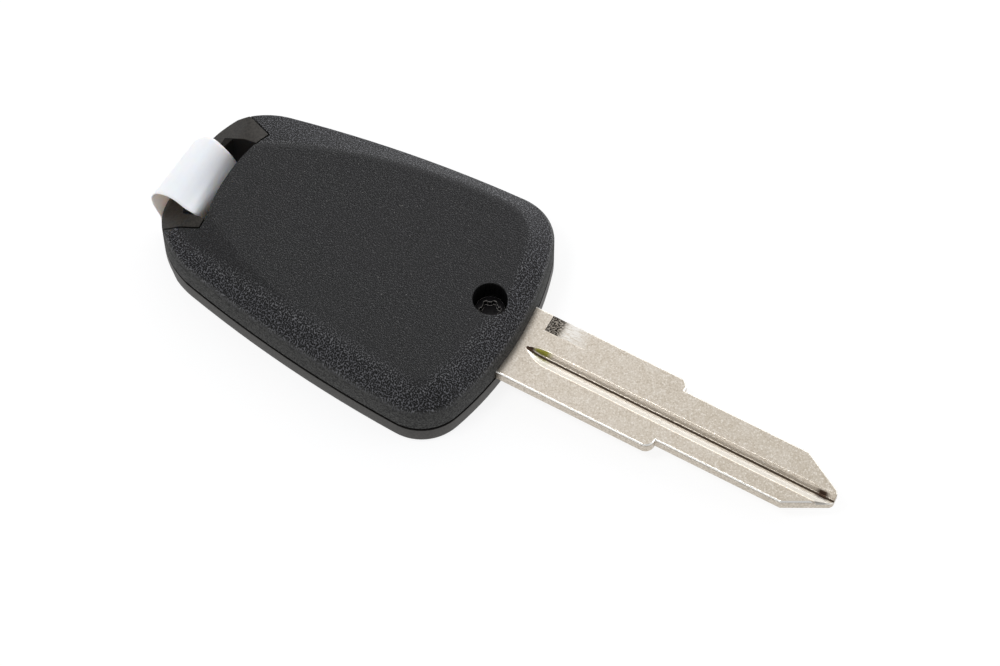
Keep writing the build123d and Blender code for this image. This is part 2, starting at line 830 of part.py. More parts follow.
parts = {
    "front_cover": make_front_cover(),
    "rear_cover": make_rear_cover(),
    "blade": make_blade(),
    "cover_screw": make_cover_screw(),
    "screw_insert": make_screw_insert(),
    "circuit_board": make_board(),
    "battery": make_battery(),
    "battery_negative_contact": make_negative_contact(),
    "battery_positive_clip": make_positive_clip(),
    "control_chip": make_control_chip(),
    "quartz_crystal": make_quartz_crystal(),
    "transponder_chip": make_transponder(),
    "paper_tag": make_paper_tag(),
}
for name, x in button_xs.items():
    parts[name + "_button"] = make_button(x)
    parts[name + "_switch"] = make_switch(x)
    parts[name + "_plunger"] = make_plunger(x)

os.makedirs("parts", exist_ok=True)
for name, shape in parts.items():
    export_step(shape, "parts/" + name + ".step")
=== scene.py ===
import bpy
import numpy as np
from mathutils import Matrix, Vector


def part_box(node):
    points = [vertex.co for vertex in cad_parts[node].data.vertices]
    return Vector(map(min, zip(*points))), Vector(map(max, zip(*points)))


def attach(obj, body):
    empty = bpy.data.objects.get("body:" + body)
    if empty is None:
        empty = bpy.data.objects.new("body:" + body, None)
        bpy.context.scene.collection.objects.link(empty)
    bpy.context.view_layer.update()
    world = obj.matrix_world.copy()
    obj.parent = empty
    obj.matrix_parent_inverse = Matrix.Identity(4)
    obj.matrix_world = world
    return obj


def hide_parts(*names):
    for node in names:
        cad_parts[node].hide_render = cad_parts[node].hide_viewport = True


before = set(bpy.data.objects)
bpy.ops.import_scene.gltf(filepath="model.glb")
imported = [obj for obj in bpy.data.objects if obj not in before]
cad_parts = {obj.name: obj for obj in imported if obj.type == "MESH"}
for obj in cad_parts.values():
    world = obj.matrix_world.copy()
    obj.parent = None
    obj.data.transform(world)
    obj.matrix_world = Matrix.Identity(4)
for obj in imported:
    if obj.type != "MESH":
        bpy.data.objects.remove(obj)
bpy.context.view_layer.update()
scene = bpy.context.scene

# Camera, as the photograph was taken
# A long lens looks down on the key at 63 degrees. Its place and focal length were fitted to the outlines of
# the head and the blade, in a frame of 1000 x 666.
camera_data = bpy.data.cameras.new("camera")
camera_data.lens = 142.66
camera_data.sensor_width = 36.0
camera = bpy.data.objects.new("camera", camera_data)
camera.location = (0.114053, -0.201371, 0.454791)
line_of_sight = Vector((-0.22133, 0.39798, -0.89030))
camera.rotation_euler = line_of_sight.to_track_quat("-Z", "Y").to_euler()
scene.collection.objects.link(camera)
scene.camera = camera
scene.view_settings.view_transform = "Standard"


# Light tent
# White cloth all round, dimmer on the camera's side. A small lamp overhead and soft boxes behind, before and
# beside the key make its edges and its grain catch light.
def srgb(code):
    """Linear RGBA of an sRGB hex colour such as '#c9c3b8'."""
    value = np.array([int(code[i:i + 2], 16) for i in (1, 3, 5)]) / 255
    linear = np.where(value <= 0.04045, value / 12.92, ((value + 0.055) / 1.055) ** 2.4)
    return (*linear.tolist(), 1.0)


def add(tree, kind, inputs=None, **settings):
    """New shader node with its settings. Each input, by name or number, gets a value or a linked output."""
    node = tree.nodes.new(kind)
    for key, value in settings.items():
        setattr(node, key, value)
    for key, value in (inputs or {}).items():
        if isinstance(value, bpy.types.NodeSocket):
            tree.links.new(value, node.inputs[key])
        else:
            node.inputs[key].default_value = value
    return node


def seen_in_gloss(tree, ray):
    """1 for a ray that comes by way of a reflection or through something clear, and 0 for any other."""
    return add(tree, "ShaderNodeMath", {0: ray["Is Glossy Ray"], 1: ray["Is Transmission Ray"]},
               operation="MAXIMUM").outputs[0]


world = bpy.data.worlds.new("light_tent")
world.use_nodes = True
tree = world.node_tree
tree.nodes.clear()
camera_side = Vector((0.30, -0.80, 0.52)).normalized()
direction = add(tree, "ShaderNodeTexCoord").outputs["Generated"]
towards = add(tree, "ShaderNodeVectorMath", {0: direction, 1: camera_side},
              operation="DOT_PRODUCT").outputs["Value"]
cloth = add(tree, "ShaderNodeMapRange", {
    "Value": towards, "From Min": 0.20, "From Max": 0.95, "To Min": 0.90, "To Max": 0.50}).outputs["Result"]
on_matt = add(tree, "ShaderNodeMath", {0: cloth, 1: 0.98}, operation="MULTIPLY").outputs[0]
ray = add(tree, "ShaderNodeLightPath").outputs
on_key = add(tree, "ShaderNodeMix", {"Factor": seen_in_gloss(tree, ray), "A": on_matt, "B": cloth}).outputs[0]
to_eye = add(tree, "ShaderNodeMix", {"Factor": ray["Is Camera Ray"], "A": on_key, "B": 1.0}).outputs[0]
tent = add(tree, "ShaderNodeBackground", {"Color": srgb("#ffffff"), "Strength": to_eye})
add(tree, "ShaderNodeOutputWorld", {"Surface": tent.outputs[0]})
scene.world = world


def soft_lamp(name, place, size, watts, colour):
    """Rectangular lamp, its place and size in metres, turned to the key's middle."""
    data = bpy.data.lights.new(name, "AREA")
    data.shape = "RECTANGLE"
    data.size, data.size_y = size
    data.energy = watts
    data.color = srgb(colour)[:3]
    lamp = bpy.data.objects.new(name, data)
    lamp.location = place
    lamp.rotation_euler = (-Vector(place)).to_track_quat("-Z", "Y").to_euler()
    scene.collection.objects.link(lamp)


soft_lamp("overhead_lamp", place=(-0.145, -0.20, 0.61), size=(0.16, 0.16), watts=1.0, colour="#f7f9ff")
soft_lamp("rear_softbox", place=(-0.12, 0.64, 0.19), size=(0.70, 0.22), watts=1.30, colour="#ffffff")
soft_lamp("front_strip", place=(-0.14, -0.63, 0.12), size=(0.60, 0.07), watts=0.30, colour="#ffffff")
soft_lamp("side_softbox", place=(0.55, 0.27, 0.27), size=(0.40, 0.30), watts=0.80, colour="#eef3ff")


# Floor
# White card under the key. To the eye and in reflections most of its light comes through from behind, so that
# it stays white right up to the key's soft shadow.
white_card = bpy.data.materials.new("white_card")
white_card.use_nodes = True
tree = white_card.node_tree
tree.nodes.clear()
card = add(tree, "ShaderNodeBsdfDiffuse", {"Color": srgb("#fafafa")}).outputs[0]
glow = add(tree, "ShaderNodeEmission", {"Color": srgb("#ffffff"), "Strength": 1.04}).outputs[0]
lit_through = add(tree, "ShaderNodeMixShader", {0: 0.80, 1: card, 2: glow}).outputs[0]
ray = add(tree, "ShaderNodeLightPath").outputs
seen = add(tree, "ShaderNodeMath", {0: ray["Is Camera Ray"], 1: seen_in_gloss(tree, ray)},
           operation="MAXIMUM").outputs[0]
shown = add(tree, "ShaderNodeMixShader", {0: seen, 1: card, 2: lit_through})
add(tree, "ShaderNodeOutputMaterial", {"Surface": shown.outputs[0]})
reach = 3.0
corners = [(-reach, -reach, 0), (reach, -reach, 0), (reach, reach, 0), (-reach, reach, 0)]
floor_mesh = bpy.data.meshes.new("floor")
floor_mesh.from_pydata(corners, [], [(0, 1, 2, 3)])
floor_mesh.materials.append(white_card)
floor = bpy.data.objects.new("floor", floor_mesh)
scene.collection.objects.link(floor)


# Front cover with the key-ring loop
# Injection-moulded ABS, black right through, in one piece with the loop. Its finely sparked skin, drawn
# coarser than the real one, shows the floor as a lighter rim. Shade is painted into the joint and the slot.
MM = 0.001


def new_finish(name):
    """New material, its empty node tree and its Object coordinates."""
    material = bpy.data.materials.new(name)
    material.use_nodes = True
    tree = material.node_tree
    tree.nodes.clear()
    return material, tree, add(tree, "ShaderNodeTexCoord").outputs["Object"]


def blotches(tree, place, size_mm, detail=2.0, stretch=None):
    """Noise from 0 to 1 with blotches of size_mm, drawn out along an axis whose stretch is below 1."""
    if stretch:
        place = add(tree, "ShaderNodeMapping", {"Vector": place, "Scale": stretch}).outputs[0]
    return add(tree, "ShaderNodeTexNoise", {
        "Vector": place, "Scale": 1 / (size_mm * MM), "Detail": detail}).outputs["Fac"]


def over_mm(source, start_mm, end_mm, low=0.0, high=1.0):
    """Ramp from low to high while the coordinate source goes from start_mm to end_mm."""
    return source, start_mm * MM, end_mm * MM, low, high


def within(source, low_mm, high_mm, soft_mm):
    """Two ramps whose product is 1 from low_mm to high_mm and 0 outside, each border soft by soft_mm."""
    return (over_mm(source, low_mm - soft_mm, low_mm + soft_mm),
            over_mm(source, high_mm - soft_mm, high_mm + soft_mm, 1.0, 0.0))


def amount(tree, *parts):
    """Product of its parts. A part is an output, or a ramp (source, start, end, low, high) that runs from low
    to high while its source goes from start to end, and is level before and after."""
    total = None
    for part in parts:
        if isinstance(part, tuple):
            source, start, end, low, high = part
            part = add(tree, "ShaderNodeMapRange", {
                "Value": source, "From Min": start, "From Max": end, "To Min": low, "To Max": high,
            }).outputs["Result"]
        if total is not None:
            part = add(tree, "ShaderNodeMath", {0: total, 1: part}, operation="MULTIPLY").outputs[0]
        total = part
    return total


def paint(tree, base, *coats):
    """Colour of base under coats laid on in turn. A coat is a colour and the parts of its amount. A colour is
    a hex code or an output."""
    for coat, *parts in coats:
        below, above = [srgb(colour) if isinstance(colour, str) else colour for colour in (base, coat)]
        base = add(tree, "ShaderNodeMix", {"Factor": amount(tree, *parts), "A": below, "B": above},
                   data_type="RGBA").outputs["Result"]
    return base


def finish(tree, inputs, edge_mm=None, relief=None, strength=1.0, depth_mm=0.0):
    """Close a material with a surface of the given inputs. Its edges are rounded to edge_mm, as the mould or
    the tumbler leaves them, and it carries a relief of depth_mm."""
    if edge_mm:
        inputs["Normal"] = add(tree, "ShaderNodeBevel", {"Radius": edge_mm * MM}, samples=4).outputs[0]
    if relief is not None:
        bump = {"Strength": strength, "Distance": depth_mm * MM, "Height": relief}
        if "Normal" in inputs:
            bump["Normal"] = inputs["Normal"]
        inputs["Normal"] = add(tree, "ShaderNodeBump", bump).outputs[0]
    surface = add(tree, "ShaderNodeBsdfPrincipled", inputs)
    add(tree, "ShaderNodeOutputMaterial", {"Surface": surface.outputs[0]})


def dress(name, material, crease_deg=24.0):
    """Give a CAD node its finish, join its loose triangles, and keep edges past crease_deg sharp."""
    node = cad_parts[name]
    node.data.materials.clear()
    node.data.materials.append(material)
    node.data.polygons.foreach_set("use_smooth", np.ones(len(node.data.polygons), bool))
    weld = node.modifiers.new("join_triangles", "WELD")
    weld.merge_threshold = 0.002 * MM
    split = node.modifiers.new("keep_edges", "EDGE_SPLIT")
    split.split_angle = np.radians(crease_deg)
    flats = node.modifiers.new("flat_faces", "WEIGHTED_NORMAL")
    flats.weight = 100


moulded_abs, tree, place = new_finish("sparked_black_abs")
xyz = add(tree, "ShaderNodeSeparateXYZ", {0: place}).outputs

# Painted shade where light hardly comes: in the far half of the slot, and in the joint with the rear cover
slot_x, slot_y, joint_z = (-42.5, -37.4), (0.0, 6.42), (3.04, 3.60)
in_slot = amount(tree, *within(xyz["X"], *slot_x, 0.05), *within(xyz["Y"], *slot_y, 0.02))
in_joint = amount(tree, *within(xyz["Z"], *joint_z, 0.04), over_mm(xyz["X"], -37.5, -37.0))
painted_shade = add(tree, "ShaderNodeMath", {0: in_slot, 1: in_joint}, operation="MAXIMUM").outputs[0]
finish(tree, {
    "Base Color": paint(tree, "#0a0a09", ("#252320", (blotches(tree, place, 0.3, 3.0), 0.40, 0.60, 0.0, 1.0)),
                        ("#040405", painted_shade)),
    "Roughness": amount(tree, (painted_shade, 0.0, 1.0, 0.48, 0.95)),
    "Specular IOR Level": 0.34,
    "Specular Tint": srgb("#faf1e8"),
}, edge_mm=0.12, relief=blotches(tree, place, 0.22, 3.0), strength=0.7, depth_mm=0.02)
dress("front_cover", moulded_abs, 30.0)


# Buttons
# Boot, unlock and lock: three plain caps of hard grey-black ABS, sparked as the front cover is. Their domed
# tops are rubbed a little smoother than their sides.
button_abs, tree, place = new_finish("sparked_grey_black_abs")
height = add(tree, "ShaderNodeSeparateXYZ", {0: place}).outputs["Z"]
finish(tree, {
    "Base Color": paint(tree, "#222224", ("#2a2a2c", blotches(tree, place, 0.9))),
    "Roughness": amount(tree, over_mm(height, 0.2, 0.9, 0.38, 0.52)),
}, edge_mm=0.15, relief=blotches(tree, place, 0.18, 3.0), strength=0.6, depth_mm=0.015)
for name in ("boot_button", "unlock_button", "lock_button"):
    dress(name, button_abs)


# Circuit board
# Glass-epoxy laminate under green solder mask, routed to shape. Tracks under the mask show as a lighter green
# lattice, drawn coarser than real ones.
laminate, tree, place = new_finish("solder_masked_laminate")
tracks = add(tree, "ShaderNodeTexBrick", {
    "Vector": place, "Scale": 1.0,
    "Color1": srgb("#1b4529"), "Color2": srgb("#1f4f30"), "Mortar": srgb("#3a7a4c"),
    "Mortar Size": 0.10 * MM, "Brick Width": 1.9 * MM, "Row Height": 0.9 * MM,
}).outputs
finish(tree, {"Base Color": tracks["Color"], "Roughness": 0.35},
       edge_mm=0.05, relief=tracks["Fac"], strength=0.5, depth_mm=0.03)
dress("circuit_board", laminate)


# Push switches
# Moulded bodies of heat-proof black nylon, soldered under the board. The glass fibres in it leave the skin
# matt, with a faint fleck that is drawn coarser than the fibres.
switch_nylon, tree, place = new_finish("glass_filled_black_nylon")
fleck = blotches(tree, place, 0.12, stretch=(1.0, 0.3, 1.0))
finish(tree, {"Base Color": paint(tree, "#101011", ("#222223", fleck)), "Roughness": 0.55},
       edge_mm=0.06, relief=fleck, strength=0.4, depth_mm=0.01)
for name in ("boot_switch", "unlock_switch", "lock_switch"):
    dress(name, switch_nylon)


# Switch plungers
# Little moulded posts of ivory acetal, slippery and slightly waxy. One slides in each switch and is pushed by
# its cap.
acetal, tree, place = new_finish("ivory_acetal")
finish(tree, {
    "Base Color": paint(tree, "#d3ccb9", ("#ddd8c8", blotches(tree, place, 0.5))),
    "Roughness": 0.4,
    "Subsurface Weight": 0.2,
    "Subsurface Scale": 0.3 * MM,
}, edge_mm=0.06)
for name in ("boot_plunger", "unlock_plunger", "lock_plunger"):
    dress(name, acetal)


# Control chip
# Black epoxy package with rows of tinned leads along its long sides, soldered to the board.
chip_resin, tree, place = new_finish("chip_epoxy_and_tinned_leads")
low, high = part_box("control_chip")
half_package = 2.20
across = add(tree, "ShaderNodeSeparateXYZ", {0: place}).outputs["Y"]
middle = (low[1] + high[1]) / 2
from_middle = add(tree, "ShaderNodeMath", {0: across, 1: middle}, operation="SUBTRACT").outputs[0]
aside = add(tree, "ShaderNodeMath", {0: from_middle}, operation="ABSOLUTE").outputs[0]
lead = amount(tree, over_mm(aside, half_package, half_package + 0.01))
epoxy = paint(tree, "#131314", ("#242425", blotches(tree, place, 0.15, 3.0)))
finish(tree, {
    "Base Color": paint(tree, epoxy, ("#cfcdc8", lead)),
    "Metallic": lead,
    "Roughness": amount(tree, (lead, 0.0, 1.0, 0.6, 0.3)),
}, edge_mm=0.04)
dress("control_chip", chip_resin)


# Quartz crystal
# Drawn can of bright nickel-silver with a welded rim, laid flat on the board. The lines of the drawing run up
# its sides, coarser than real ones.
crystal_can, tree, place = new_finish("drawn_nickel_silver")
drawn = blotches(tree, place, 0.12, 3.0, stretch=(1.0, 1.0, 0.1))
finish(tree, {
    "Base Color": paint(tree, "#bdbab1", ("#d2cfc7", drawn)),
    "Metallic": 1.0,
    "Roughness": amount(tree, (drawn, 0.3, 0.7, 0.18, 0.30)),
}, edge_mm=0.08)
dress("quartz_crystal", crystal_can)


# Negative battery contact
# Strip of spring bronze bent up from the board to press on the cell, unevenly tarnished in a colour between
# straw and brown.
bronze, tree, place = new_finish("spring_bronze")
finish(tree, {
    "Base Color": paint(tree, "#9c7745", ("#c29c66", blotches(tree, place, 1.1, 3.0))),
    "Metallic": 1.0,
    "Roughness": amount(tree, (blotches(tree, place, 0.3), 0.3, 0.7, 0.26, 0.42)),
}, edge_mm=0.05)
dress("battery_negative_contact", bronze)


# Battery
# Coin cell in a pressed stainless can, its smaller lid duller than the can. Polishing has left circular
# lines, coarser here than real ones.
cell_steel, tree, place = new_finish("polished_stainless_can")
low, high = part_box("battery")
lid_mm = low[2] / MM + 0.50
middle = [(a + b) / 2 for a, b in zip(low, high)]
from_middle = add(tree, "ShaderNodeVectorMath", {0: place, 1: middle}, operation="DISTANCE").outputs["Value"]
rings = add(tree, "ShaderNodeTexNoise", {"W": from_middle, "Scale": 1 / (0.12 * MM), "Detail": 3.0},
            noise_dimensions="1D").outputs["Fac"]
height = add(tree, "ShaderNodeSeparateXYZ", {0: place}).outputs["Z"]
finish(tree, {
    "Base Color": paint(tree, "#bcbbb7", ("#cfcecb", rings),
                        ("#a9a8a3", over_mm(height, lid_mm - 0.01, lid_mm + 0.01, 1.0, 0.0))),
    "Metallic": 1.0,
    "Roughness": amount(tree, (rings, 0.3, 0.7, 0.20, 0.32)),
}, edge_mm=0.10)
dress("battery", cell_steel)


# Positive battery clip
# Strap of springy stainless over the cell, folded down to the board on both sides. The lines that rolling
# left along it are coarser here than real ones.
clip_steel, tree, place = new_finish("rolled_spring_stainless")
rolled = blotches(tree, place, 0.10, 3.0, stretch=(1.0, 0.06, 1.0))
finish(tree, {
    "Base Color": paint(tree, "#b0afab", ("#c8c7c4", rolled)),
    "Metallic": 1.0,
    "Roughness": amount(tree, (rolled, 0.3, 0.7, 0.24, 0.38)),
}, edge_mm=0.06)
dress("battery_positive_clip", clip_steel)


# Screw insert
# Sleeve of turned brass, pressed hot into the front cover's boss, where the screw bites in it. Its shine is
# faintly uneven.
brass, tree, place = new_finish("turned_brass")
finish(tree, {
    "Base Color": paint(tree, "#b8934b", ("#d4b26c", blotches(tree, place, 0.6, 3.0))),
    "Metallic": 1.0,
    "Roughness": amount(tree, (blotches(tree, place, 0.2), 0.3, 0.7, 0.22, 0.36)),
}, edge_mm=0.06)
dress("screw_insert", brass)


# Transponder chip
# Immobiliser block of cast black glass-filled resin, laid in its pocket: matt, with voids in the skin that
# are drawn larger than real ones.
cast_resin, tree, place = new_finish("cast_black_resin")
voids = blotches(tree, place, 0.25, 3.0)
finish(tree, {
    "Base Color": paint(tree, "#0e0e0f", ("#1d1d1f", voids)),
    "Roughness": amount(tree, (voids, 0.3, 0.7, 0.58, 0.40)),
}, edge_mm=0.12, relief=amount(tree, (voids, 0.25, 0.4, 0.0, 1.0)), strength=0.5, depth_mm=0.03)
dress("transponder_chip", cast_resin)


# Blade
# Flat blank of steel, its groove and notch milled, then nickel plated: satin on the flats, with a highlight
# painted along the upper edges, painted shade and highlights in the groove, a dark line along its bottom,
# and a bare, brushed ramp out of the notch.
nickel_plate, tree, place = new_finish("satin_nickel_plate")
xyz = add(tree, "ShaderNodeSeparateXYZ", {0: place}).outputs
along, across, up = xyz["X"], xyz["Y"], xyz["Z"]
true_normal = add(tree, "ShaderNodeNewGeometry").outputs["True Normal"]
facing = add(tree, "ShaderNodeSeparateXYZ", {0: true_normal}).outputs["Z"]

# In millimetres: where the head ends, the tip, the upper face, and the groove and the notch from these
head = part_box("rear_cover")[1][0] / MM
blade_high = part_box("blade")[1]
tip, face = blade_high[0] / MM, blade_high[2] / MM
groove_root, groove_floor, lip = head + 1.0, face - 0.78, face - 0.04
slope_lip, slope_foot, wall_foot, wall_lip = -1.84, -0.50, -0.20, 0.40
notch_root, notch_side = head + 2.15, 2.82

# Where the edges, the groove, its slope, the painted shade at its start, the dark spot near the tip, the notch
# and the painted edge highlight lie. An edge is a face that looks sideways.
mottle = blotches(tree, place, 0.20)
on_edge = amount(tree, (facing, 0.2, 0.5, 1.0, 0.0), (facing, -0.5, -0.2, 0.0, 1.0))
in_groove = amount(tree, *within(up, groove_floor, lip, 0.01),
                   over_mm(along, groove_root - 0.01, groove_root + 0.01))
ragged = add(tree, "ShaderNodeMath", {0: blotches(tree, place, 0.30, 3.0), 1: 0.14 * MM, 2: -0.07 * MM},
             operation="MULTIPLY_ADD").outputs[0]
wavy = add(tree, "ShaderNodeMath", {0: across, 1: ragged}, operation="ADD").outputs[0]
on_slope = amount(tree, in_groove, *within(across, slope_lip, slope_foot, 0.05))
groove_start_shade = amount(tree, in_groove, *within(along, groove_root - 0.2, groove_root + 1.3, 0.2),
                *within(across, -0.60, 0.44, 0.04))
tip_spot = amount(tree, in_groove, *within(along, tip - 2.45, tip - 1.05, 0.3),
                  *within(across, -0.50, 0.20, 0.08))
shade_and_spot = add(tree, "ShaderNodeMath", {0: groove_start_shade, 1: tip_spot}, operation="MAXIMUM").outputs[0]
in_notch = amount(tree, over_mm(along, notch_root - 0.01, notch_root + 0.01),
                  over_mm(across, notch_side - 0.01, notch_side + 0.01),
                  *within(up, face - 0.40, face - 0.01, 0.005))
dark_end = amount(tree, in_notch, over_mm(along, notch_root + 1.55, notch_root + 2.65, 1.0, 0.0))
streaks = blotches(tree, place, 0.16, 3.0, stretch=(0.12, 1.0, 1.0))
brushed = amount(tree, in_notch, over_mm(along, notch_root + 1.85, notch_root + 2.65, 0.0, 0.8),
                 over_mm(along, notch_root + 3.55, notch_root + 6.05, 1.0, 0.0),
                 (streaks, 0.38, 0.56, 0.1, 1.0))
beside_groove = amount(tree, *within(across, -2.0, 0.5, 0.02))
edge_highlight = amount(tree, (facing, 0.3, 0.5, 0.0, 1.0), (facing, 0.8, 1.0, 1.0, 0.0),
                       *within(up, face - 0.18, face + 0.02, 0.01), (beside_groove, 0.0, 1.0, 1.0, 0.0))

# The plate, darker towards the tip, then what lies in the groove with its painted shade and highlights, then
# wear, a painted highlight along the upper edge and bare metal
plated = paint(
    tree, "#dad0c2",
    ("#ccc2b3", over_mm(along, 10, 45)),
    ("#a89b88", (mottle, 0.52, 0.72, 0.0, 0.58)),
    ("#faf4eb", (mottle, 0.30, 0.46, 0.65, 0.0)),
    ("#e6dfd5", (blotches(tree, place, 1.8), 0.45, 0.70, 0.0, 0.25)),
    ("#aaa092", on_edge, (blotches(tree, place, 0.30, 4.0), 0.42, 0.66, 0.25, 1.0)))
grooved = paint(
    tree, plated,
    # Painted dark reflection on the steep wall, strongest at its foot
    ("#b3a491", in_groove, *within(across, wall_foot, wall_lip, 0.02),
     over_mm(up, face - 0.7, face, 0.45, 0.1)),
    ("#aaa198", in_groove, *within(wavy, -1.52, -1.40, 0.03), over_mm(ragged, -0.02, 0.02, 0.35, 0.9)),
    # Painted highlight on the slope, with painted shade over its upper part
    ("#f0ece5", on_slope),
    ("#827e77", on_slope, over_mm(across, -1.35, -0.72, 0.84, 0.0)),
    ("#4a3f35", in_groove, *within(wavy, -0.60, -0.24, 0.05)),
    # Painted olive reflection on the steep wall near the head
    ("#8f8c3c", *within(along, groove_root + 1.2, groove_root + 3.5, 0.5), *within(up, face - 0.6, lip, 0.05),
     *within(across, -0.15, 0.45, 0.05)),
    # Painted shade at the groove's start, and a dark spot near the tip
    ("#4a3a30", shade_and_spot))
wear_and_highlight = paint(
    tree, grooved,
    ("#2b2723", dark_end, (blotches(tree, place, 0.22), 0.45, 0.62, 1.0, 0.42)),
    # A highlight is painted along the upper edge, with a darker band just below it.
    ("#fffdf8", edge_highlight),
    ("#5d554c", on_edge, *within(up, face - 0.32, face - 0.14, 0.03), (mottle, 0.3, 0.7, 0.4, 0.9)),
    ("#fbf9f5", brushed))
roughness = add(tree, "ShaderNodeMath", {
    0: amount(tree, (mottle, 0.3, 0.7, 0.28, 0.36)), 1: amount(tree, dark_end, (mottle, 0.3, 0.7, 0.2, 0.3)),
}, operation="ADD").outputs[0]
pits = amount(tree, blotches(tree, place, 0.22), (dark_end, 0.0, 1.0, 1.0, 7.0))
finish(tree, {"Base Color": wear_and_highlight, "Metallic": 1.0, "Roughness": roughness},
       edge_mm=0.14, relief=pits, strength=0.8, depth_mm=0.008)
dress("blade", nickel_plate, 15.0)


# Rear cover
# The same black ABS, from a mould etched with a leather grain: fine shiny ridges round pits of a fifth of a
# millimetre on the sloping band, a flatter grain on the flat top, and a side wall that is only sparked.
def leather_grain(tree, place, cell_mm):
    """Etched grain seen from above: low in each pit, high on the ridges round it. A slow noise moves every
    point by up to half a cell, so that the pits differ in shape."""
    cell = cell_mm * MM
    wander = add(tree, "ShaderNodeTexNoise", {"Vector": place, "Scale": 1 / (2.2 * cell), "Detail": 2.0})
    shift = add(tree, "ShaderNodeVectorMath", {0: wander.outputs["Color"], 1: (0.5, 0.5, 0.5)},
                operation="SUBTRACT").outputs[0]
    scaled = add(tree, "ShaderNodeVectorMath", {0: shift, "Scale": 0.9 * cell}, operation="SCALE").outputs[0]
    moved = add(tree, "ShaderNodeVectorMath", {0: place, 1: scaled}, operation="ADD").outputs[0]
    return add(tree, "ShaderNodeTexVoronoi", {"Vector": moved, "Scale": 1 / cell, "Smoothness": 0.06},
               feature="SMOOTH_F1", voronoi_dimensions="2D").outputs["Distance"]


grained_abs, tree, place = new_finish("leather_grained_black_abs")
xyz = add(tree, "ShaderNodeSeparateXYZ", {0: place}).outputs
side, height = xyz["Y"], xyz["Z"]
level = add(tree, "ShaderNodeVectorMath", {0: place, 1: (1.0, 1.0, 0.0)}, operation="MULTIPLY").outputs[0]

# Heights, the borders of the flat top and the bore's radius are in millimetres, and the two centres in metres.
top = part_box("rear_cover")[1][2] / MM
rim = 3.43
edge_slant, near_edge_mm = 0.105, -14.6
arc_centre, arc_radius = (-37.6 * MM, 0.0, 0.0), 38.8
screw_low, screw_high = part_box("cover_screw")
screw_axis = ((screw_low[0] + screw_high[0]) / 2, (screw_low[1] + screw_high[1]) / 2, 0.0)
bore_radius = 2.25

# The flat top ends in a soft slanting line on the near side, in an arc at the blade, and elsewhere where the
# band begins to fall.
inwards = add(tree, "ShaderNodeVectorMath", {0: place, 1: (edge_slant, 1.0, 0.0)},
              operation="DOT_PRODUCT").outputs["Value"]
from_loop = add(tree, "ShaderNodeVectorMath", {0: level, 1: arc_centre},
                operation="DISTANCE").outputs["Value"]
near_top = amount(tree, over_mm(inwards, near_edge_mm - 1.2, near_edge_mm + 1.2),
                  over_mm(from_loop, arc_radius - 1.0, arc_radius + 1.0, 1.0, 0.0),
                  over_mm(height, top - 1.9, top - 1.3))
far_top = amount(tree, over_mm(height, top - 0.5, top - 0.1))
near_side = amount(tree, over_mm(side, -4, 4, 1.0, 0.0))
on_top = add(tree, "ShaderNodeMix", {"Factor": near_side, "A": far_top, "B": near_top}).outputs[0]

# A sheen is painted along the rim of the flat top: it peaks about halfway between the band and the top.
rim_sheen = amount(tree, on_top, (on_top, 0.0, 1.0, 1.0, 0.0), (on_top, 0.0, 1.0, 4.0, 3.0))

above_wall = amount(tree, over_mm(height, top - 3.0, top - 2.0))
# Shade is painted into the joint with the front cover.
in_joint = amount(tree, over_mm(height, rim + 0.13, rim + 0.27, 1.0, 0.0))
from_screw = add(tree, "ShaderNodeVectorMath", {0: level, 1: screw_axis},
                 operation="DISTANCE").outputs["Value"]
in_bore = amount(tree, over_mm(from_screw, bore_radius + 0.01, bore_radius + 0.05, 1.0, 0.0))
at_corner = amount(tree, over_mm(xyz["X"], -3, 1, 0.0, 0.9), over_mm(side, -14, -11, 1.0, 0.0))

sparked = blotches(tree, place, 0.26, 1.0)
coarse = leather_grain(tree, place, 0.19)
fine = leather_grain(tree, place, 0.17)
off_top = add(tree, "ShaderNodeMix", {"Factor": above_wall, "A": sparked, "B": coarse}).outputs[0]
grain = add(tree, "ShaderNodeMix", {"Factor": on_top, "A": off_top, "B": fine}).outputs[0]
ridge = amount(tree, (grain, 0.38, 0.66, 0.0, 1.0))
ridge_squared = amount(tree, ridge, ridge)
on_band = paint(
    tree, "#030303",
    ("#626266", ridge),
    ("#808081", rim_sheen, (ridge, 0.4, 1.0, 0.0, 0.8)),
    # Painted sheen, growing towards the far side of the band
    ("#a4a4a6", over_mm(side, 8, 13, 0.0, 0.07)),
    ("#020202", at_corner, (ridge_squared, 0.0, 1.0, 1.0, 0.0)))
flat_top = paint(
    tree, "#080809",
    ("#323233", ridge),
    ("#8c8a86", (blotches(tree, place, 0.16, 1.0), 0.74, 0.80, 0.0, 0.8)))
cover = paint(
    tree, "#383836",
    ("#020202", (sparked, 0.40, 0.60, 0.0, 1.0)),
    (on_band, above_wall),
    (flat_top, on_top),
    ("#070707", in_bore),
    ("#020202", in_joint))
ridge_gloss = amount(tree, (ridge, 0.0, 1.0, 0.62, 0.30))
grained = add(tree, "ShaderNodeMix", {"Factor": on_top, "A": ridge_gloss, "B": 0.44}).outputs[0]
matt_wall = amount(tree, (above_wall, 0.0, 1.0, 0.70, 0.0))
walled = add(tree, "ShaderNodeMath", {0: grained, 1: matt_wall}, operation="MAXIMUM").outputs[0]
roughness = add(tree, "ShaderNodeMath", {0: walled, 1: in_joint}, operation="MAXIMUM").outputs[0]
depth = amount(tree, (on_top, 0.0, 1.0, 1.0, 0.3), (above_wall, 0.0, 1.0, 0.35, 1.0))
finish(tree, {"Base Color": cover, "Roughness": roughness, "Specular IOR Level": 0.26},
       edge_mm=0.2, relief=amount(tree, grain, depth), depth_mm=0.34)
dress("rear_cover", grained_abs, 30.0)
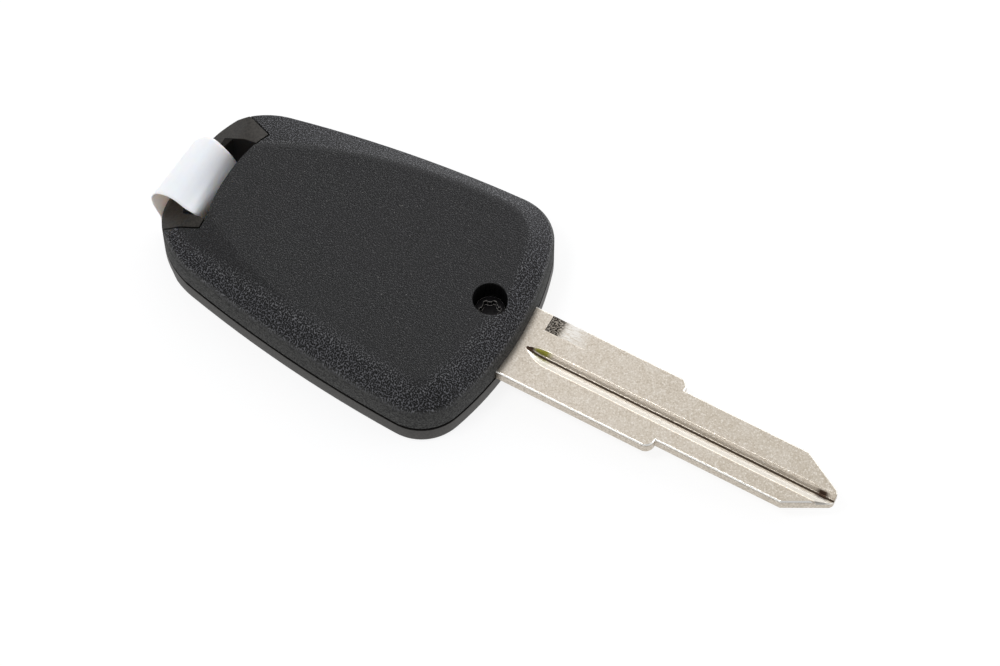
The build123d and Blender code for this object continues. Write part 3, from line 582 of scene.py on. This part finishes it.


# Cover screw
# Cheese-head screw of blackened steel with a six-lobe recess, sunk in its counterbore. A highlight is painted
# on every rim: it lies where the rounded edge turns away from the true surface.
black_steel, tree, place = new_finish("blackened_steel")
rounded = add(tree, "ShaderNodeBevel", {"Radius": 0.12 * MM}, samples=4).outputs[0]
true_normal = add(tree, "ShaderNodeNewGeometry").outputs["True Normal"]
agree = add(tree, "ShaderNodeVectorMath", {0: rounded, 1: true_normal},
            operation="DOT_PRODUCT").outputs["Value"]
# Painted highlight on every rim
rim_highlight = amount(tree, (agree, 0.86, 0.985, 1.0, 0.0))
finish(tree, {
    "Base Color": paint(tree, "#1b1b1c", ("#353334", blotches(tree, place, 0.35)), ("#f0ebe4", rim_highlight)),
    "Metallic": 1.0,
    "Roughness": amount(tree, (rim_highlight, 0.0, 1.0, 0.34, 0.55)),
    "Normal": rounded,
}, relief=blotches(tree, place, 0.2), strength=0.6, depth_mm=0.01)
dress("cover_screw", black_steel)


# Paper strip
# Strip of stiff white paper closed in a ring: it stands in the key-ring slot, arches over the bar and comes
# back under it, a little askew. Its fibres are drawn coarser than real ones.
def closed_curve(stations, steps):
    """Smooth closed curve through stations: a cubic between each two, its slope at a station being the chord
    between the station before and the one after, over the distance walked between them."""
    before, after = np.roll(stations, 1, axis=0), np.roll(stations, -1, axis=0)
    step_in = np.linalg.norm(stations - before, axis=1)
    step_out = np.linalg.norm(after - stations, axis=1)
    slope = (after - before) / (step_in + step_out)[:, None]
    t = (np.arange(steps) / steps)[None, :, None]
    run = step_out[:, None, None]
    start, end = stations[:, None], after[:, None]
    slope_start, slope_end = slope[:, None] * run, np.roll(slope, -1, axis=0)[:, None] * run
    curve = (2 * t**3 - 3 * t**2 + 1) * start + (t**3 - 2 * t**2 + t) * slope_start
    curve += (3 * t**2 - 2 * t**3) * end + (t**3 - t**2) * slope_end
    return curve.reshape(-1, stations.shape[1])


# The strip's two edges, in millimetres: up through the slot, over the bar, down outside it and back under it
near_edge = np.array([
    (-38.9, -5.6, 0.9), (-38.9, -5.6, 3.2), (-38.9, -5.7, 5.8), (-38.98, -5.9, 7.8), (-39.3, -6.1, 8.85),
    (-39.9, -6.2, 9.3), (-40.71, -6.2, 9.42), (-41.4, -6.2, 9.8), (-42.1, -6.2, 10.2), (-43.05, -6.2, 10.36),
    (-44.14, -6.2, 10.15), (-45.3, -6.2, 9.3), (-46.0, -6.2, 7.7), (-45.9, -6.2, 6.1), (-45.45, -6.2, 4.7),
    (-44.95, -6.2, 3.4), (-44.85, -6.2, 1.2), (-44.2, -6.2, 0.22), (-42.1, -5.9, 0.17), (-39.5, -5.6, 0.22)])
far_edge = np.array([
    (-38.95, 4.3, 0.9), (-38.95, 4.3, 2.4), (-38.98, 4.33, 3.7), (-39.15, 4.35, 5.0), (-39.55, 4.35, 6.2),
    (-40.25, 4.25, 7.7), (-40.9, 4.1, 8.9), (-41.5, 3.95, 9.85), (-42.1, 3.9, 10.42), (-42.75, 3.85, 10.6),
    (-43.4, 3.85, 10.25), (-44.4, 3.8, 9.2), (-45.4, 3.75, 7.6), (-45.8, 3.75, 5.9), (-45.85, 3.75, 4.2),
    (-45.75, 3.75, 2.4), (-45.5, 3.75, 0.9), (-44.9, 3.75, 0.2), (-42.3, 4.0, 0.17), (-39.6, 4.2, 0.22)])
steps_per_station, strips = 12, 24
near_line = closed_curve(near_edge, steps_per_station)
far_line = closed_curve(far_edge, steps_per_station)
share = np.linspace(0, 1, strips + 1)[None, :, None]
grid = near_line[:, None] * (1 - share) + far_line[:, None] * share

# The leg outside the bar bows out between its two edges, from nothing at bow_top to the full bow at bow_full.
bow, bow_top, bow_full, outside_bar = 0.34, 8.0, 5.0, -43.5
low_leg = np.clip((bow_top - grid[:, :, 2]) / (bow_top - bow_full), 0, 1) * (grid[:, :, 0] < outside_bar)
grid[:, :, 0] -= bow * 4 * (share * (1 - share))[:, :, 0] * low_leg

rows, columns = grid.shape[:2]
corner = np.arange(rows)[:, None] * columns + np.arange(strips)[None, :]
onward = (np.arange(rows)[:, None] + 1) % rows * columns + np.arange(strips)[None, :]
faces = np.stack([corner, corner + 1, onward + 1, onward], axis=2).reshape(-1, 4)
paper_mesh = bpy.data.meshes.new("paper_strip")
paper_mesh.from_pydata((grid.reshape(-1, 3) * MM).tolist(), [], faces.tolist())
paper_mesh.polygons.foreach_set("use_smooth", np.ones(len(faces), bool))
paper_mesh.update()
paper = bpy.data.objects.new("paper_strip", paper_mesh)
scene.collection.objects.link(paper)
sheet = paper.modifiers.new("sheet", "SOLIDIFY")
sheet.thickness = 0.14 * MM
sheet.offset = -1.0
white_paper, tree, place = new_finish("uncoated_white_paper")
fibres = blotches(tree, place, 0.25, 3.0, stretch=(1.0, 0.4, 1.0))
finish(tree, {
    "Base Color": paint(tree, "#f8f0ef", ("#fdf6f3", fibres)),
    "Roughness": 0.85,
    "Subsurface Weight": 0.7,
    "Subsurface Scale": 0.6 * MM,
    "Subsurface Radius": (1.0, 0.7, 0.5),
}, relief=fibres, strength=0.35, depth_mm=0.02)
paper_mesh.materials.append(white_paper)
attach(paper, "key")
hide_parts("paper_tag")
